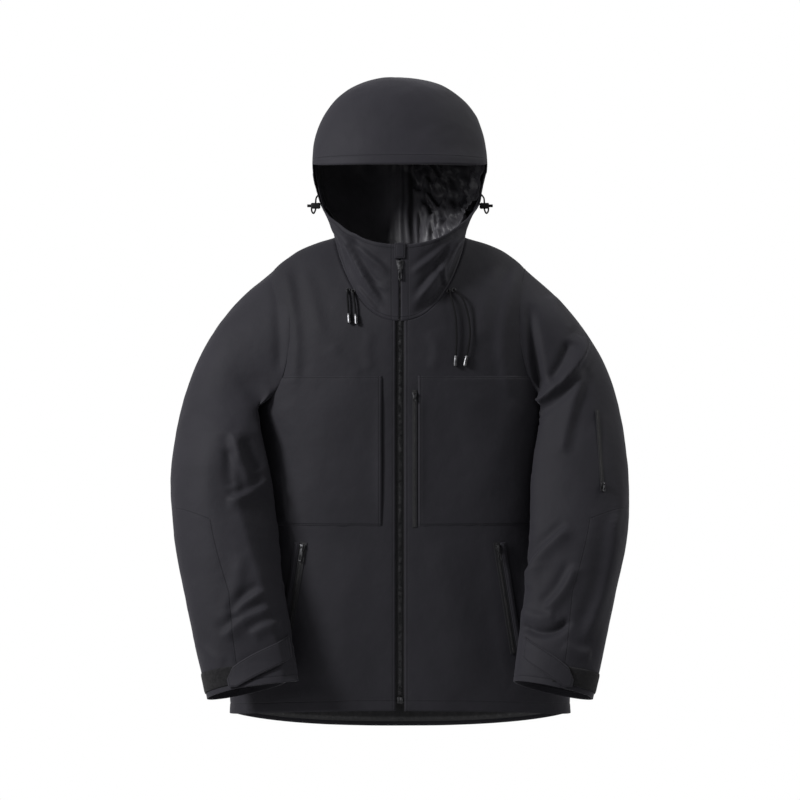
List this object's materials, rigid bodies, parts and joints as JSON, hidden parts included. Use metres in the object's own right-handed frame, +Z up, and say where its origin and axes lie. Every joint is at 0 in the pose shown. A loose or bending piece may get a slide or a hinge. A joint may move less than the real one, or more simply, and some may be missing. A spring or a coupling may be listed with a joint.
{
  "type": "ski jacket",
  "caption": "Hooded ski jacket, zipped up: stand collar, fixed hood, patch chest pockets, slanted hand pockets, sleeve pocket, cuff tabs, drawcords and powder skirt.",
  "frame": {"origin": "where a coat hook bears in the hanger loop, inside the back of the neck", "axes": "+Z up, front of the jacket towards -Y, wearer's left towards +X"},
  "size_m": [0.7186, 0.3299, 1.0527],
  "materials": {
    "shell": "matte woven",
    "lining": "satin",
    "hook_patch": "fuzzy loop pile",
    "zip_tape": "matte coated tape",
    "zip_teeth": "dark nickel",
    "zip_metal": "dark gunmetal",
    "cord": "braided",
    "cord_tip": "semi-gloss",
    "lock_plastic": "moulded"
  },
  "bodies": {
    "jacket": {"right_front_panel": "shell", "left_front_panel": "shell", "back_yoke": "shell", "back_panel": "shell", "body_lining": "lining", "powder_skirt": "lining", "right_top_sleeve": "shell", "right_under_sleeve": "shell", "right_sleeve_lining": "lining", "left_top_sleeve": "shell", "left_under_sleeve": "shell", "left_sleeve_lining": "lining", "right_collar": "shell", "left_collar": "shell", "hood_front_panel": "shell", "hood_crown_panel": "shell", "hood_right_side": "shell", "hood_left_side": "shell", "hood_lining": "lining", "hanger_loop": "shell", "main_zip_right_tape": "zip_tape", "main_zip_left_tape": "zip_tape", "main_zip_chain": "zip_teeth", "main_zip_end_box": "zip_metal", "chin_guard": "shell", "right_pocket_zip": "zip_tape", "right_pocket_welt": "shell", "left_pocket_zip": "zip_tape", "left_pocket_welt": "shell", "chest_pocket_zip": "zip_tape", "right_chest_pocket": "shell", "left_chest_pocket": "shell", "sleeve_pocket_zip": "zip_tape", "right_cuff_patch": "hook_patch", "left_cuff_patch": "hook_patch", "right_drawcord_outer": "cord", "right_cord_tip_outer": "cord_tip", "right_drawcord_inner": "cord", "right_cord_tip_inner": "cord_tip", "left_drawcord_outer": "cord", "left_cord_tip_outer": "cord_tip", "left_drawcord_inner": "cord", "left_cord_tip_inner": "cord_tip", "hood_right_cord_lock": "lock_plastic", "hood_left_cord_lock": "lock_plastic"},
    "main_zip_slider": {"main_zip_slider": "zip_metal"},
    "main_zip_puller": {"main_zip_puller": "zip_metal"},
    "right_pocket_slider": {"right_pocket_slider": "zip_metal"},
    "right_pocket_puller": {"right_pocket_puller": "zip_metal"},
    "left_pocket_slider": {"left_pocket_slider": "zip_metal"},
    "left_pocket_puller": {"left_pocket_puller": "zip_metal"},
    "chest_pocket_slider": {"chest_pocket_slider": "zip_metal"},
    "chest_pocket_puller": {"chest_pocket_puller": "zip_metal"},
    "sleeve_pocket_slider": {"sleeve_pocket_slider": "zip_metal"},
    "sleeve_pocket_puller": {"sleeve_pocket_puller": "zip_metal"},
    "right_cuff_tab": {"right_cuff_tab": "shell"},
    "hood_right_lock_button": {"hood_right_lock_button": "lock_plastic"},
    "left_cuff_tab": {"left_cuff_tab": "shell"},
    "hood_left_lock_button": {"hood_left_lock_button": "lock_plastic"}
  },
  "joints": [
    {"name": "main_zip_slide", "type": "slide", "parent": "jacket", "child": "main_zip_slider", "axis": [0, 0, 1], "range_m": [-0.6651, 0]},
    {"name": "main_zip_puller_swing", "type": "hinge", "parent": "main_zip_slider", "child": "main_zip_puller", "pos_m": [0, -0.19811, -0.0265], "axis": [-1, 0, 0], "range_deg": [0, 150]},
    {"name": "right_pocket_slide", "type": "slide", "parent": "jacket", "child": "right_pocket_slider", "axis": [0.1576, -0.0191, 0.9873], "range_m": [-0.1581, 0]},
    {"name": "right_pocket_puller_swing", "type": "hinge", "parent": "right_pocket_slider", "child": "right_pocket_puller", "pos_m": [-0.15284, -0.18378, -0.46828], "axis": [-0.9432, 0.2933, 0.1562], "range_deg": [0, 150]},
    {"name": "left_pocket_slide", "type": "slide", "parent": "jacket", "child": "left_pocket_slider", "axis": [-0.1576, -0.0191, 0.9873], "range_m": [-0.1581, 0]},
    {"name": "left_pocket_puller_swing", "type": "hinge", "parent": "left_pocket_slider", "child": "left_pocket_puller", "pos_m": [0.15284, -0.18378, -0.46828], "axis": [-0.9432, -0.2933, -0.1562], "range_deg": [0, 150]},
    {"name": "chest_pocket_slide", "type": "slide", "parent": "jacket", "child": "chest_pocket_slider", "axis": [0, 0.0001, 1], "range_m": [-0.1975, 0]},
    {"name": "chest_pocket_puller_swing", "type": "hinge", "parent": "chest_pocket_slider", "child": "chest_pocket_puller", "pos_m": [0.0225, -0.20033, -0.23012], "axis": [-1, 0, 0], "range_deg": [0, 150]},
    {"name": "sleeve_pocket_slide", "type": "slide", "parent": "jacket", "child": "sleeve_pocket_slider", "axis": [-0.0371, 0.3345, 0.9417], "range_m": [0, 0.1178]},
    {"name": "sleeve_pocket_puller_swing", "type": "hinge", "parent": "sleeve_pocket_slider", "child": "sleeve_pocket_puller", "pos_m": [0.31592, -0.2094, -0.37017], "axis": [-0.9284, -0.3601, 0.0914], "range_deg": [0, 150]},
    {"name": "right_cuff_tab_lift", "type": "hinge", "parent": "jacket", "child": "right_cuff_tab", "pos_m": [-0.18998, -0.24782, -0.64857], "axis": [-0.2112, 0.1972, 0.9573], "range_deg": [0, 150]},
    {"name": "hood_right_lock_press", "type": "slide", "parent": "jacket", "child": "hood_right_lock_button", "axis": [-1, 0, 0], "range_m": [-0.003, 0], "stiffness_N_per_m": 400},
    {"name": "left_cuff_tab_lift", "type": "hinge", "parent": "jacket", "child": "left_cuff_tab", "pos_m": [0.18998, -0.24782, -0.64857], "axis": [-0.2112, -0.1972, -0.9573], "range_deg": [0, 150]},
    {"name": "hood_left_lock_press", "type": "slide", "parent": "jacket", "child": "hood_left_lock_button", "axis": [1, 0, 0], "range_m": [-0.003, 0], "stiffness_N_per_m": 400}
  ]
}
